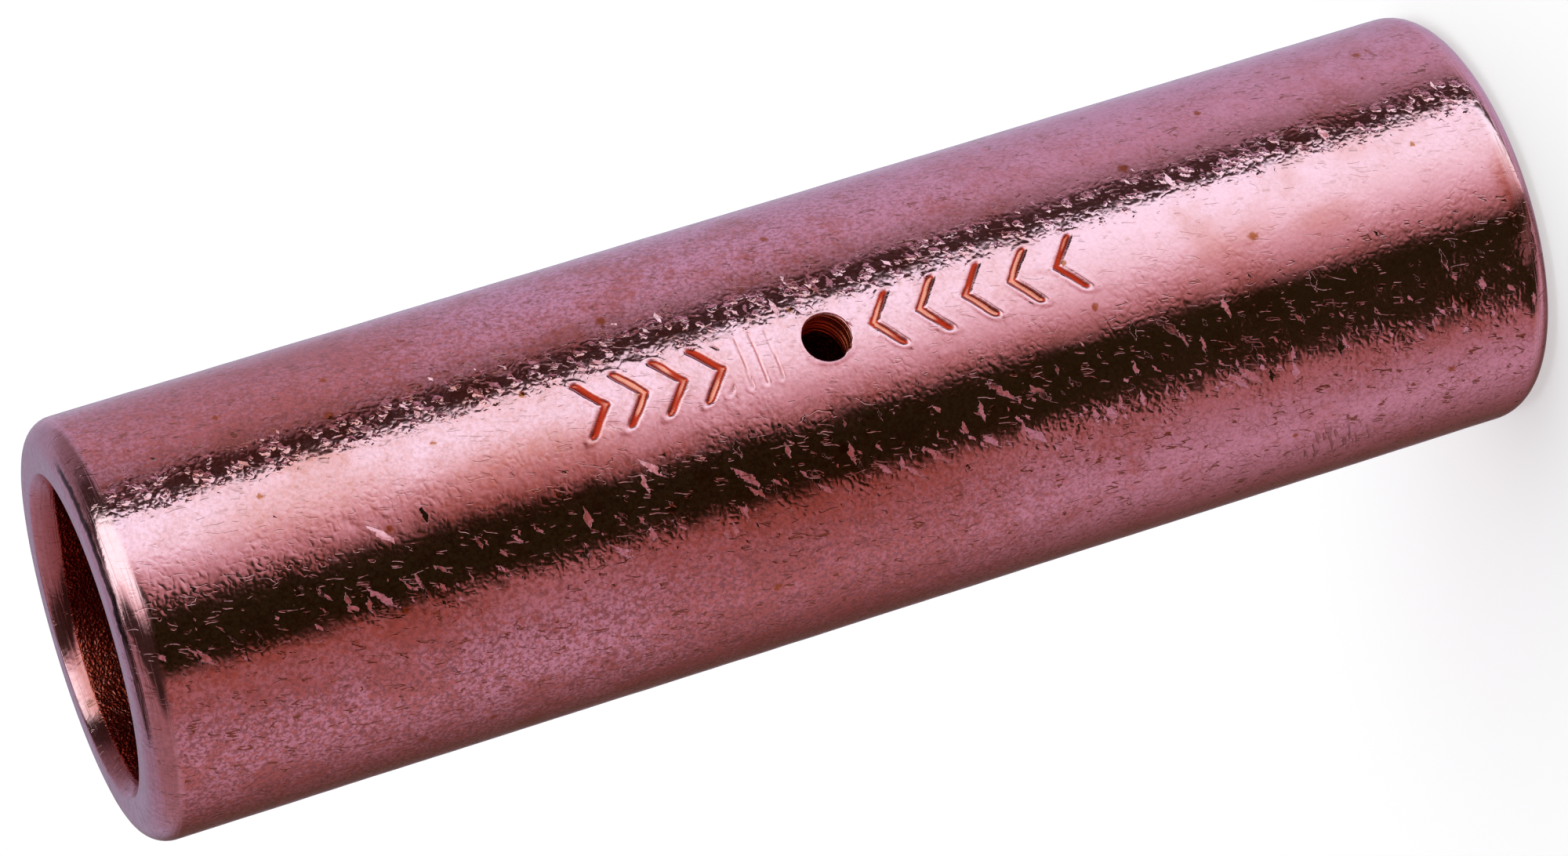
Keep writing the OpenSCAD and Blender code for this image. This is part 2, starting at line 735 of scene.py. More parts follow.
    def material(self) -> bpy.types.Material:
        """Builds the finish.

        Returns:
            The material, with its patterns on object coordinates and point attributes.
        """
        made = bpy.data.materials.new("tumbled_copper")
        made.use_nodes = True
        board = Board(made.node_tree)
        skin = self.unroll(board)
        bore, drilled = skin.zones[Zone.BORE], skin.zones[Zone.DRILLED]
        tumbled = 1.0 - bore.most(drilled).most(skin.zones[Zone.TURNED] * self.turned_calm)
        cracks = self.hairlines(skin) * (tumbled * skin.seam)
        rings, scratch = self.turning(skin), self.scratches(skin)
        dip = (cracks + rings * self.tool_dip + scratch * self.scratch_dip) * -self.crack_depth
        inner = abs(self.bore_pebble.at(skin.where) - 0.5) * self.bore_bump * bore
        spiral = board.join(0.0, board.split(skin.where)[1] + skin.rise * self.drill_climb)
        drill = self.drill_lines.at(spiral) * self.drill_bump * drilled
        height = self.relief(skin) * tumbled + dip + inner + drill
        net = self.crackle(skin) * skin.seam * tumbled
        # Cracks, net and scratches are dark; the tool rings' share is painted shade of their grooves
        dark = cracks.most(rings * self.tool_groove_shade).most(net * self.net_dark)
        dark = dark.most(scratch * self.scratch_dark)
        shader = made.node_tree.nodes["Principled BSDF"]
        bump = board.wire("ShaderNodeBump", {"Strength": 1.0, "Distance": MM, "Height": height})
        board.feed(shader.inputs["Normal"], bump)
        board.feed(shader.inputs["Base Color"], self.colour(skin, dark))
        board.feed(shader.inputs["Roughness"], self.gloss(skin))
        board.feed(shader.inputs["Metallic"], 1.0)
        return made


@dataclass(frozen=True)
class HoleRing:
    """A ring of points round the sight hole: its way to the edge, its drop or lift, and its tear."""

    share: float = 1.0
    drop: float = 0.0
    lift: float = 0.0
    spread: float = 0.0
    torn: float = 0.0
    zone: Zone | None = None
    inner: bool = False


@dataclass
class SleeveBlank:
    """The turned and drilled tube before it is struck and tumbled. Millimetres, and degrees round it."""

    length: float = 80.0
    outer_r: float = BARREL_R
    bore_r: float = 8.25
    end_radius: float = 1.6
    mouth_chamfer: float = 0.5
    mouth_depth: float = 0.85
    hole_r: float = 1.35
    # How far the barrel stays inside the CAD surface, so that its relief does too
    shy: float = 0.06
    edge_break: float = 0.14
    inner_break: float = 0.20
    bore_from: float = 0.7
    # Uneven lead-in of the upper mouth, and skew of the upper end as the saw left it
    deburr: float = 0.35
    deburr_side: float = 118.0
    deburr_spread: float = 38.0
    deburr_reach: float = 2.0
    saw_skew: float = 0.30
    saw_side: float = -70.0
    saw_reach: float = 4.0
    # Torn lip of the hole, its middle and spread in radians, and the rings of points round the hole
    torn_side: float = -2.2
    torn_spread: float = 0.75
    torn_depth: float = 0.16
    tear_waves: tuple[Range, ...] = ((7.0, 0.6), (4.3, 0.0))
    nibs: tuple[tuple[float, float, float], ...] = ((0.012, 9.0, 1.0), (0.008, 17.0, 0.0))
    lip: float = 0.02
    burr: float = 0.028
    apron: tuple[float, ...] = (0.2, 0.4, 0.6, 0.78)
    apron_gap: float = 0.10
    inner_apron: tuple[float, ...] = (1.0, 0.75, 0.5, 0.25)
    lip_rings: tuple[HoleRing, ...] = (
        HoleRing(0.9, spread=0.10),
        HoleRing(lift=1.0, spread=0.07, torn=0.4),
        HoleRing(lift=0.7, spread=0.02, torn=0.8),
        HoleRing(drop=0.07, torn=1.0),
    )
    tear_depth: float = 0.8
    wall_depths: tuple[float, ...] = (0.22, 0.5, 1.0, 1.7, 2.4)
    wall_foot: float = 0.12
    # Steps of the mesh
    columns: int = 240
    wall_step: float = 0.30
    round_steps: int = 10
    bend_steps: int = 5
    bore_steps: int = 14
    patch_half: int = 8
    fine_half: float = 2.1
    fine_reach: float = 15.6
    fine_front: float = 0.9
    fine_cuts: int = 2
    slack: float = 0.01

    @property
    def skin_r(self) -> float:
        """Mean radius of the barrel."""
        return self.outer_r - self.shy

    def wall_heights(self) -> np.ndarray:
        """Heights of the barrel's rows, with one row at the sight hole's middle.

        Returns:
            The heights, from the foot upwards.
        """
        half = self.length / 2 - self.end_radius
        upper = np.linspace(0.0, half, round(half / self.wall_step) + 1)
        return self.length / 2 + np.concatenate([-upper[:0:-1], upper])

    def end_section(self) -> list[tuple[float, float, Zone]]:
        """Profile of one end, from the barrel over the rounding and the ring into the mouth.

        Returns:
            Radius, depth below the end face and zone of each point.
        """
        turn_r, rim = self.end_radius, self.bore_r + self.mouth_chamfer
        flat_r = self.skin_r - turn_r
        angles = [math.pi / 2 * k / self.round_steps for k in range(1, self.round_steps + 1)]
        points = [
            (flat_r + turn_r * math.cos(a), turn_r - turn_r * math.sin(a), Zone.TURNED) for a in angles
        ]
        ring = np.linspace(flat_r, rim + self.edge_break, self.bend_steps)[1:-1]
        points += [(float(r), 0.0, Zone.TURNED) for r in ring]
        slope = Vector((-self.mouth_chamfer, self.mouth_depth)).normalized()
        corner, foot = Vector((rim, 0.0)), Vector((self.bore_r, self.mouth_depth))
        into = Vector((0.0, self.inner_break))
        bends = (
            (corner + Vector((self.edge_break, 0.0)), corner, corner + slope * self.edge_break, 1.0),
            (foot - slope * self.inner_break, foot, foot + into, self.bore_from),
        )
        for first, knee, last, bore_from in bends:
            for t in np.linspace(0.0, 1.0, self.bend_steps):
                at = first * (1 - t) ** 2 + knee * (2 * t * (1 - t)) + last * (t * t)
                points.append((at.x, at.y, Zone.BORE if t > bore_from else Zone.TURNED))
        return points

    def section(self) -> tuple[np.ndarray, np.ndarray, list[Zone], slice, slice]:
        """Closed profile of the wall, from the foot of the barrel upwards and back down the bore.

        Returns:
            Radii, heights, zones, and the rows that the sight hole cuts in the barrel and in the bore.
        """
        walls, end = self.wall_heights(), self.end_section()
        middle, deep = len(walls) // 2, end[-1][1]
        cut = slice(middle - self.patch_half, middle + self.patch_half + 1)
        near = walls[cut]
        above = np.linspace(self.length - deep, near[-1], self.bore_steps)[1:-1]
        below = np.linspace(near[0], deep, self.bore_steps)[1:-1]
        rows = [(self.skin_r, float(z), Zone.BARREL) for z in walls]
        rows += [(r, self.length - depth, zone) for r, depth, zone in end]
        start = len(rows) + len(above)
        rows += [(self.bore_r, float(z), Zone.BORE) for z in np.concatenate([above, near[::-1], below])]
        rows += reversed(end)
        radii, heights, zones = zip(*rows)
        return np.array(radii), np.array(heights), list(zones), cut, slice(start, start + len(near))

    def build(self) -> bpy.types.Mesh:
        """Makes the closed mesh of the blank.

        Returns:
            The mesh, in metres, with its zone attributes.
        """
        radii, heights, zones, cut, bore_cut = self.section()
        n, m, half = self.columns, len(radii), self.patch_half
        turn = 2 * math.pi * np.arange(n) / n
        points = np.empty((m, n, 3))
        points[..., 0] = radii[:, None] * np.sin(turn)
        points[..., 1] = -radii[:, None] * np.cos(turn)
        points[..., 2] = heights[:, None]
        grid = np.arange(n * m).reshape(m, n)
        whole = np.ones((m, n), bool)
        for rows in (cut, bore_cut):
            whole[np.ix_(range(rows.start, rows.stop - 1), np.arange(-half, half) % n)] = False
        after = np.roll(grid, -1, 0)
        faces = np.stack([grid, np.roll(grid, -1, 1), np.roll(after, -1, 1), after], -1)[whole]
        marks = {z: np.repeat([float(own is z) for own in zones], n) for z in Zone if z is not Zone.GROOVE}
        rims = (
            [grid[cut.start + half + row, column % n] for row, column in self.hole_loop()],
            [grid[bore_cut.start + half - row, column % n] for row, column in self.hole_loop()],
        )
        verts, faces = self.drill(points.reshape(-1, 3), faces, marks, *rims)
        mesh = bpy.data.meshes.new("sleeve_skin")
        mesh.from_pydata((verts * MM).tolist(), [], faces.tolist())
        for zone, values in marks.items():
            mark = mesh.attributes.new(zone.value, "FLOAT", "POINT")
            mark.data.foreach_set("value", values.astype(np.float32))
        self.refine(mesh)
        self.settle(mesh)
        return mesh

    def hole_loop(self) -> list[tuple[int, int]]:
        """Rows and columns round the square that the sight hole's faces fill.

        Returns:
            Steps from the hole's middle.
        """
        half = self.patch_half
        span = range(-half, half)
        loop = [(-half, step) for step in span] + [(step, half) for step in span]
        return loop + [(-row, -column) for row, column in loop]

    def hole_rings(self) -> list[HoleRing]:
        """Rings of the hole: over the barrel, up the lip, down the wall and out over the bore.

        Returns:
            The rings in that order.
        """
        gap = self.apron_gap
        rings = [HoleRing(share, spread=gap, zone=Zone.BARREL) for share in self.apron]
        rings += self.lip_rings
        for drop in self.wall_depths:
            rings.append(HoleRing(drop=drop, torn=max(0.0, self.tear_depth - drop), zone=Zone.DRILLED))
        rings.append(HoleRing(drop=self.skin_r - self.bore_r - self.wall_foot, zone=Zone.BORE))
        rings += [HoleRing(share, spread=gap, zone=Zone.BORE, inner=True) for share in self.inner_apron]
        return rings

    def drill(
        self, verts: np.ndarray, faces: np.ndarray, marks: dict[Zone, np.ndarray], outer: list, inner: list
    ) -> tuple[np.ndarray, np.ndarray]:
        """Adds the rings round the sight hole on both walls, and the hole's own wall.

        Args:
            verts: points so far.
            faces: faces so far.
            marks: zone values so far, changed in place.
            outer: points of the barrel round the hole.
            inner: points of the bore round the hole.

        Returns:
            The points and faces with the hole.
        """
        middle = self.length / 2
        way = np.arctan2(verts[outer][:, 2] - middle, verts[outer][:, 0])
        off = np.angle(np.exp(1j * (way - self.torn_side)))
        torn_side = np.exp(-((off / self.torn_spread) ** 2))
        close, wide = (np.sin(count * way + shift) for count, shift in self.tear_waves)
        ragged = self.torn_depth * np.abs(close * wide) * torn_side
        ragged += sum(size * np.sin(count * way + shift) for size, count, shift in self.nibs)
        count, chain, added = len(outer), [np.array(outer)], [verts]
        for number, ring in enumerate(self.hole_rings()):
            start, wall = (verts[inner], self.bore_r) if ring.inner else (verts[outer], self.skin_r)
            size = self.hole_r + ring.spread - ring.torn * np.abs(ragged)
            edge = np.stack([size * np.cos(way), size * np.sin(way)], 1)
            flat = np.stack([start[:, 0], start[:, 2] - middle], 1)
            flat = flat + (edge - flat) * ring.share
            level = wall - ring.drop + ring.lift * (self.lip + self.burr * torn_side)
            depth = np.sqrt(np.maximum(level**2 - flat[:, 0] ** 2, 0.0))
            added.append(np.stack([flat[:, 0], -depth, flat[:, 1] + middle], 1))
            chain.append(len(verts) + number * count + np.arange(count))
            for zone in marks:
                marks[zone] = np.concatenate([marks[zone], np.full(count, float(ring.zone is zone))])
        chain.append(np.array(inner))
        strips = [np.stack([a, np.roll(a, -1), np.roll(b, -1), b], 1) for a, b in zip(chain, chain[1:])]
        return np.concatenate(added), np.concatenate([faces, *strips])

    def refine(self, mesh: bpy.types.Mesh) -> None:
        """Splits the barrel's cells along the struck line finer, where the strokes go.

        Args:
            mesh: the blank's mesh, changed in place.
        """
        work = bmesh.new()
        work.from_mesh(mesh)
        hole = (self.patch_half + 0.5) * self.wall_step * MM
        edges: dict[bmesh.types.BMEdge, None] = {}
        for face in work.faces:
            at = face.calc_center_median()
            rise = abs(at.z - self.length / 2 * MM)
            on_front = at.y < -self.fine_front * self.skin_r * MM and abs(at.x) < self.fine_half * MM
            if on_front and hole < rise < self.fine_reach * MM:
                edges.update(dict.fromkeys(face.edges))
        bmesh.ops.subdivide_edges(work, edges=list(edges), cuts=self.fine_cuts, use_grid_fill=True)
        bmesh.ops.recalc_face_normals(work, faces=work.faces[:])
        for face in work.faces:
            face.smooth = True
        work.to_mesh(mesh)
        work.free()

    def settle(self, mesh: bpy.types.Mesh) -> None:
        """Puts split points back on the barrel, and tilts and scrapes the upper end a little.

        Args:
            mesh: the blank's mesh, changed in place.
        """
        at = np.empty(len(mesh.vertices) * 3, np.float32)
        mesh.vertices.foreach_get("co", at)
        at = at.reshape(-1, 3).astype(float)
        reach = np.hypot(at[:, 0], at[:, 1])
        near = np.abs(reach - self.skin_r * MM) < self.slack * MM
        at[near, :2] *= (self.skin_r * MM / reach[near])[:, None]
        top = np.clip((at[:, 2] / MM - (self.length - self.saw_reach)) / self.saw_reach, 0.0, 1.0)
        turn = np.arctan2(at[:, 0], -at[:, 1])
        at[:, 2] -= top * 0.5 * (1 - np.cos(turn - math.radians(self.saw_side))) * self.saw_skew * MM
        off = np.degrees(np.angle(np.exp(1j * (turn - math.radians(self.deburr_side)))))
        mouth = (reach < (self.bore_r + self.mouth_chamfer) * MM) & (reach > (self.bore_r - self.slack) * MM)
        mouth &= at[:, 2] > (self.length - self.deburr_reach) * MM
        depth = np.maximum(self.length * MM - at[:, 2], 0.0)
        at[mouth, 2] -= (depth * self.deburr * np.exp(-((off / self.deburr_spread) ** 2)))[mouth]
        mesh.vertices.foreach_set("co", at.astype(np.float32).ravel())
        mesh.update()


@dataclass
class Carver:
    """A geometry tree under construction, with named inputs."""

    name: str
    inputs: dict[str, float]
    board: Board = field(init=False)
    entry: bpy.types.Node = field(init=False)
    sockets: dict[str, str] = field(init=False, default_factory=dict)

    def __post_init__(self) -> None:
        """Makes the empty tree and its interface."""
        tree = bpy.data.node_groups.new(self.name, "GeometryNodeTree")
        kinds = {label: "Int" if isinstance(value, int) else "Float" for label, value in self.inputs.items()}
        tree.interface.new_socket("Geometry", in_out="OUTPUT", socket_type="NodeSocketGeometry")
        for label, kind in {"Geometry": "Geometry", **kinds, "Finish": "Material"}.items():
            made = tree.interface.new_socket(label, in_out="INPUT", socket_type=f"NodeSocket{kind}")
            self.sockets[label] = made.identifier
        self.board = Board(tree)
        self.entry = self.board.add("NodeGroupInput", {})

    def given(self, label: str) -> Term:
        """Gives a named input."""
        return Term(self.board, self.entry.outputs[label])

    def read(self, name: str) -> Term:
        """Reads a float attribute of the points that a field is evaluated on."""
        feeds = {"Name": name}
        return self.board.wire("GeometryNodeInputNamedAttribute", feeds, "Attribute", data_type="FLOAT")

    def store(self, points: Term, name: str, value: Feed) -> Term:
        """Writes a float attribute on points."""
        feeds = {"Geometry": points, "Name": name, "Value": value}
        return self.board.wire("GeometryNodeStoreNamedAttribute", feeds, "Geometry", data_type="FLOAT")

    def nearest(self, points: Term, position: Term) -> Term:
        """Finds the closest of some scattered points."""
        feeds = {"Geometry": points, "Sample Position": position}
        return self.board.wire("GeometryNodeSampleNearest", feeds, "Index")

    def sample(self, points: Term, index: Term, value: Term, kind: str = "FLOAT") -> Term:
        """Reads a field off one scattered point."""
        feeds = {"Geometry": points, "Value": value, "Index": index}
        return self.board.wire("GeometryNodeSampleIndex", feeds, "Value", data_type=kind)

    def finish(self, geometry: Term, position: Term, height: Term) -> None:
        """Moves points straight out from the axis, and ends the tree in plain geometry with its finish.

        Args:
            geometry: what is moved.
            position: the points' position.
            height: how far, in millimetres.
        """
        out = self.board.scale(self.outward(position), height * MM)
        moved = self.board.wire("GeometryNodeSetPosition", {"Geometry": geometry, "Offset": out}, "Geometry")
        real = self.board.wire("GeometryNodeRealizeInstances", {"Geometry": moved}, "Geometry")
        feeds = {"Geometry": real, "Material": self.given("Finish")}
        self.board.add("NodeGroupOutput", {"Geometry": self.board.wire("GeometryNodeSetMaterial", feeds)})

    def outward(self, position: Term) -> Term:
        """Gives the direction straight out from the sleeve's axis."""
        return self.board.vector("NORMALIZE", self.board.vector("MULTIPLY", position, (1.0, 1.0, 0.0)))

    def apply(self, piece: bpy.types.Object, finish: bpy.types.Material) -> None:
        """Runs the tree on a piece and leaves a plain mesh.

        Args:
            piece: the piece, changed in place.
            finish: the material that it gets.
        """
        modifier = piece.modifiers.new(self.name, "NODES")
        modifier.node_group = self.board.tree
        for label, value in {**self.inputs, "Finish": finish}.items():
            modifier[self.sockets[label]] = value
        graph = bpy.context.evaluated_depsgraph_get()
        graph.update()
        whole = piece.evaluated_get(graph)
        mesh = bpy.data.meshes.new_from_object(whole, preserve_all_data_layers=True, depsgraph=graph)
        piece.modifiers.remove(modifier)
        old = piece.data
        piece.data = mesh
        bpy.data.meshes.remove(old)


@dataclass(frozen=True)
class StrokeRow:
    """A row of strokes: height of the first, distance to the next, count, and weight as a share."""

    first: float
    pitch: float
    count: int
    weight: float


@dataclass
class CrimpStrokes:
    """Struck chevrons that point to the sight hole from both sides. Sizes in millimetres."""

    half_height: float = 1.42
    half_width: float = 0.21
    depth: float = 0.13
    rim: float = 0.020
    reach: float = 1.15
    faint: StrokeRow = StrokeRow(43.05, 0.85, 3, 0.42)
    upper: StrokeRow = StrokeRow(45.9, 2.15, 4, 1.0)
    lower: StrokeRow = StrokeRow(37.4, -2.62, 5, 0.92)
    faint_half: float = 1.7
    hole_height: float = 40.0
    skin_r: float = 11.44
    narrowing: float = 0.22
    wander: Grain = Grain(1.3)
    wander_reach: float = 0.22
    wall: Easing = (-0.14, 0.07, 1.0, 0.0)
    blow: Grain = Grain(2.6, 1.0, 0.5, (0.34, 0.54, 0.62, 1.0))
    rim_inside: Range = (0.02, 0.12)
    rim_outside: Easing = (0.12, 0.36, 1.0, 0.0)
    front: Easing = (-9.0, -8.0, 1.0, 0.0)

    def centres(self, carver: Carver) -> Term:
        """Middles of all strokes.

        Args:
            carver: the tree.

        Returns:
            The points, with their weights.
        """
        gather = carver.board.add("GeometryNodeJoinGeometry", {})
        for row in (self.faint, self.upper, self.lower):
            start = (0.0, -self.skin_r * MM, row.first * MM)
            feeds = {"Count": row.count, "Start Location": start, "Offset": (0.0, 0.0, row.pitch * MM)}
            line = carver.board.wire("GeometryNodeMeshLine", feeds, "Mesh")
            carver.board.feed(gather.inputs[0], carver.store(line, "weight", row.weight))
        return Term(carver.board, gather.outputs[0])

    def strike(self, piece: bpy.types.Object, finish: bpy.types.Material) -> None:
        """Carves the strokes into the sleeve.

        Args:
            piece: the sleeve, changed in place.
            finish: the material that it keeps.
        """
        sizes = {
            "Half height": self.half_height,
            "Half width": self.half_width,
            "Depth": self.depth,
            "Rim": self.rim,
            "Reach": self.reach,
        }
        carver = Carver("crimp_strokes", sizes)
        board, points = carver.board, self.centres(carver)
        half_height, half_width, depth, rim, reach = (carver.given(label) for label in sizes)
        position = board.wire("GeometryNodeInputPosition", {})
        where = board.scale(position, 1.0 / MM)
        x, y, z = board.split(where)
        side = abs(board.round_from_front(x, y) * self.skin_r)
        plain = abs(z - (self.faint.first + self.faint.pitch)) < self.faint_half
        bent = 1.0 - plain
        level = z - side / half_height * reach * board.math("SIGN", z - self.hole_height) * bent
        index = carver.nearest(points, board.scale(board.join(0.0, -self.skin_r, level), MM))
        centre = carver.sample(points, index, position, "FLOAT_VECTOR")
        weight = carver.sample(points, index, carver.read("weight"))
        rise = level + self.wander.at(where).swing(self.wander_reach) - board.split(centre)[2] / MM
        rise = rise * (1.0 - bent * self.narrowing)
        gap = board.hypot((side - half_height).most(0.0), rise) - half_width * weight
        struck = gap.fit(*self.wall) * self.blow.at(where) * weight
        swell = gap.fit(*self.rim_inside) * gap.fit(*self.rim_outside) * weight * rim
        barrel = carver.read(Zone.BARREL.value) * y.fit(*self.front)
        marked = carver.store(carver.given("Geometry"), Zone.GROOVE.value, struck * barrel)
        carver.finish(marked, position, (swell - struck * depth) * barrel)
        carver.apply(piece, finish)


@dataclass
class HandlingMarks:
    """Dents and waves that drawing and tumbling left in the barrel. Millimetres and degrees."""

    density: float = 60000.0
    seed: int = 11
    length: float = 1.5
    width: float = 0.55
    depth: float = 0.025
    slant: float = 55.0
    spread: float = 45.0
    wave: float = 0.05
    barrel_share: float = 0.9
    slant_draw: Range = (-1.0, 1.0)
    size_draw: Range = (0.35, 1.0)
    depth_draw: Range = (-0.35, 1.0)
    dish: Easing = (0.3, 1.1, 1.0, 0.0)
    swell: Grain = Grain(5.0)
    ripple: Grain = Grain(1.4, 1.0)
    ripple_share: float = 0.35
    highest: float = 0.03

    def scatter(self, carver: Carver) -> Term:
        """Dent centres on the barrel, each with its own slant, size and depth.

        Args:
            carver: the tree.

        Returns:
            The points.
        """
        board, seed = carver.board, carver.given("Seed")
        feeds = {
            "Mesh": carver.given("Geometry"),
            "Selection": carver.read(Zone.BARREL.value) > self.barrel_share,
            "Density": carver.given("Dents per square metre"),
            "Seed": seed,
        }
        kind = "GeometryNodeDistributePointsOnFaces"
        points = board.wire(kind, feeds, "Points", distribute_method="RANDOM")
        draws = {"slant": self.slant_draw, "long": self.size_draw, "deep": self.depth_draw}
        for number, (name, (low, high)) in enumerate(draws.items(), 1):
            draw = {2: low, 3: high, "Seed": seed + number}
            value = board.wire("FunctionNodeRandomValue", draw, 1, data_type="FLOAT")
            points = carver.store(points, name, value)
        return points

    def wear(self, piece: bpy.types.Object, finish: bpy.types.Material) -> None:
        """Presses the dents into the sleeve.

        Args:
            piece: the sleeve, changed in place.
            finish: the material that it keeps.
        """
        carver = Carver("handling_marks", {
            "Dents per square metre": self.density,
            "Seed": self.seed,
            "Length": self.length,
            "Width": self.width,
            "Depth": self.depth,
            "Slant": math.radians(self.slant),
            "Slant spread": math.radians(self.spread),
            "Wave": self.wave,
        })
        board, points = carver.board, self.scatter(carver)
        position = board.wire("GeometryNodeInputPosition", {})
        index = carver.nearest(points, position)
        centre = carver.sample(points, index, position, "FLOAT_VECTOR")
        drawn = (carver.read(name) for name in ("slant", "long", "deep"))
        tilt, long, deep = (carver.sample(points, index, value) for value in drawn)
        away = board.scale(board.vector("SUBTRACT", position, centre), 1.0 / MM)
        across = board.vector("CROSS_PRODUCT", (0.0, 0.0, 1.0), carver.outward(position))
        up, side = board.split(away)[2], board.vector("DOT_PRODUCT", away, across, out="Value")
        angle = carver.given("Slant") + tilt * carver.given("Slant spread")
        cosine, sine = board.math("COSINE", angle), board.math("SINE", angle)
        along = (up * cosine + side * sine) / (carver.given("Length") * long * 0.5)
        beside = (side * cosine - up * sine) / (carver.given("Width") * long * 0.5)
        dent = board.hypot(along, beside).fit(*self.dish) * (deep * carver.given("Depth"))
        where = board.scale(position, 1.0 / MM)
        rolling = self.swell.at(where) - 0.5 + self.ripple.at(where).swing(self.ripple_share)
        height = (rolling * carver.given("Wave") - dent).least(self.highest)
        carver.finish(carver.given("Geometry"), position, height * carver.read(Zone.BARREL.value))
        carver.apply(piece, finish)


@dataclass
class Sleeve:
    """The whole connector: blank, strokes and wear."""

    blank: SleeveBlank = field(default_factory=SleeveBlank)
    strokes: CrimpStrokes = field(default_factory=CrimpStrokes)
    marks: HandlingMarks = field(default_factory=HandlingMarks)
    finish: TumbledCopper = field(default_factory=TumbledCopper)

    def build(self) -> bpy.types.Object:
        """Makes the sleeve and ties it to the frame.

        Returns:
            The finished piece.
        """
        copper = self.finish.material()
        piece = bpy.data.objects.new("sleeve_skin", self.blank.build())
        bpy.context.scene.collection.objects.link(piece)
        self.marks.wear(piece, copper)
        self.strokes.strike(piece, copper)
        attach(piece, "root")
        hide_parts("sleeve")
        return piece


@dataclass
class PhotoCamera:
    """A long lens that sees the standing sleeve as the photograph does. Millimetres, degrees, pixels."""

    image_width: float = 2000.0
    lens_pixels: float = 8540.0
    sensor: float = 36.0
    lean: float = 17.177
    tip: float = 15.985
    hole_turn: float = 17.746
    offset_right: float = 0.391
    offset_up: float = 0.522
    distance: float = 357.0
    nearest: float = 10.0

    def place(self, middle: Vector) -> None:
        """Sets up the scene's camera.

        Args:
            middle: the sleeve's middle, in metres.
        """
        lean, tip, turn = (math.radians(a) for a in (self.lean, self.tip, self.hole_turn))
        axis = Vector((math.cos(tip) * math.cos(lean), math.cos(tip) * math.sin(lean), -math.sin(tip)))
        centre = Vector((self.offset_right, self.offset_up, -self.distance))
        near = -centre.normalized()
        near = (near - axis * near.dot(axis)).normalized()
        over = near.cross(axis)
        over = over if over.y > 0 else -over
        up = -axis
        front = near * math.cos(turn) + over * math.sin(turn)
        to_world = Matrix(((-front).cross(up), -front, up))
        camera = bpy.data.objects.new("camera", bpy.data.cameras.new("camera"))
        camera.data.sensor_width = self.sensor
        camera.data.lens = self.lens_pixels * self.sensor / self.image_width
        camera.data.clip_start = self.nearest * MM
        camera.matrix_world = Matrix.Translation(middle + to_world @ (-centre * MM)) @ to_world.to_4x4()
        bpy.context.scene.collection.objects.link(camera)
        bpy.context.scene.camera = camera


